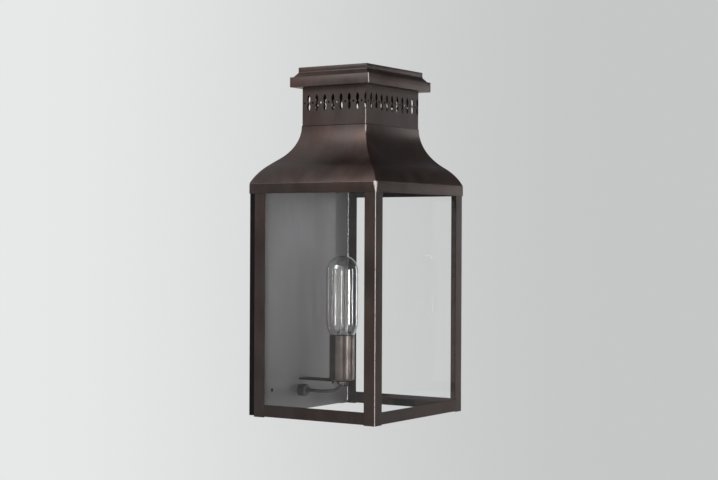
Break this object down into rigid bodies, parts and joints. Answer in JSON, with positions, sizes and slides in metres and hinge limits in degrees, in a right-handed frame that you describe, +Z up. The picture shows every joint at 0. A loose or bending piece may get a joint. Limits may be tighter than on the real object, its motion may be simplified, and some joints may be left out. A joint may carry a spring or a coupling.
{
  "type": "outdoor wall lantern",
  "caption": "Glazed box lantern on a flat wall tray, with an ogee roof, pierced vent gallery and stepped cap, and a screw-in tubular lamp reached through the open bottom.",
  "frame": {"origin": "centre of the four wall fixings, on the wall plane", "axes": "+X to the right as you face the wall, +Y into the wall, +Z up"},
  "size_m": [0.226, 0.203, 0.471],
  "materials": {
    "patina_brass": "dark bronze patina, satin, brighter on worn folds",
    "satin_plate": "grey satin, lightly clouded",
    "black_steel": "black satin paint",
    "clear_glass": "clear float glass, faint green in the edges",
    "black_rubber": "matt black",
    "solder": "bright beaded tin solder",
    "label_film": "blank dark film",
    "zinc": "bright zinc plate",
    "holder_metal": "dark bronze, semi-gloss",
    "white_ceramic": "glazed ceramic",
    "bright_brass": "bright rolled brass",
    "bulb_glass": "thin clear blown glass",
    "wire": "fine bright wire",
    "black_plastic": "moulded black nylon",
    "flex_sheath": "smooth black sheath"
  },
  "bodies": {
    "lantern": {"back_plate": "satin_plate", "back_post_left": "patina_brass", "back_post_right": "patina_brass", "bottom_rail_front": "patina_brass", "bottom_rail_left": "patina_brass", "bottom_rail_right": "patina_brass", "cap_band": "patina_brass", "cap_cove": "patina_brass", "cap_crown": "patina_brass", "cap_soffit": "patina_brass", "centre_contact": "bright_brass", "distance_sleeves": "black_steel", "earth_nut": "zinc", "earth_stud": "zinc", "earth_tag": "zinc", "eaves_band": "patina_brass", "flex": "flex_sheath", "flex_cores": "flex_sheath", "front_glass_pads": "black_rubber", "front_post_left": "patina_brass", "front_post_right": "patina_brass", "gallery_back": "patina_brass", "gallery_front": "patina_brass", "gallery_left": "patina_brass", "gallery_right": "patina_brass", "gland_body": "black_plastic", "gland_locknut": "black_plastic", "gland_nut": "black_plastic", "gland_seal": "black_rubber", "glass_front": "clear_glass", "glass_left": "clear_glass", "glass_rests": "patina_brass", "glass_right": "clear_glass", "hanging_cleat": "black_steel", "lamp_bracket": "black_steel", "lamp_nipple": "holder_metal", "lampholder_cup": "holder_metal", "lampholder_insert": "white_ceramic", "nipple_nut": "holder_metal", "rating_label": "label_film", "rear_glass_pads": "black_rubber", "roof_back": "patina_brass", "roof_front": "patina_brass", "roof_left": "patina_brass", "roof_right": "patina_brass", "screw_shell": "bright_brass", "solder_seams": "solder", "terminal_screws": "zinc", "top_rail_front": "patina_brass", "top_rail_left": "patina_brass", "top_rail_right": "patina_brass", "wall_tray": "black_steel"},
    "bulb_envelope": {"bulb_glass": "bulb_glass"},
    "bulb_core": {"bulb_cap": "bright_brass", "bulb_insulator": "white_ceramic", "bulb_contact": "bright_brass", "bulb_stem": "bulb_glass", "filament": "wire", "filament_hooks": "wire", "lead_wires": "wire"}
  },
  "joints": [
    {"name": "bulb_rise", "type": "slide", "parent": "lantern", "child": "bulb_envelope", "axis": [0, 0, 1], "range_m": [0, 0.0181]},
    {"name": "bulb_turn", "type": "hinge", "parent": "bulb_envelope", "child": "bulb_core", "pos_m": [0, -0.076, 0], "axis": [0, 0, 1], "range_deg": [0, 1800]}
  ],
  "couplings": [
    {"joint": "bulb_turn", "follows": "bulb_rise", "rad_per_m": 1731.3}
  ]
}
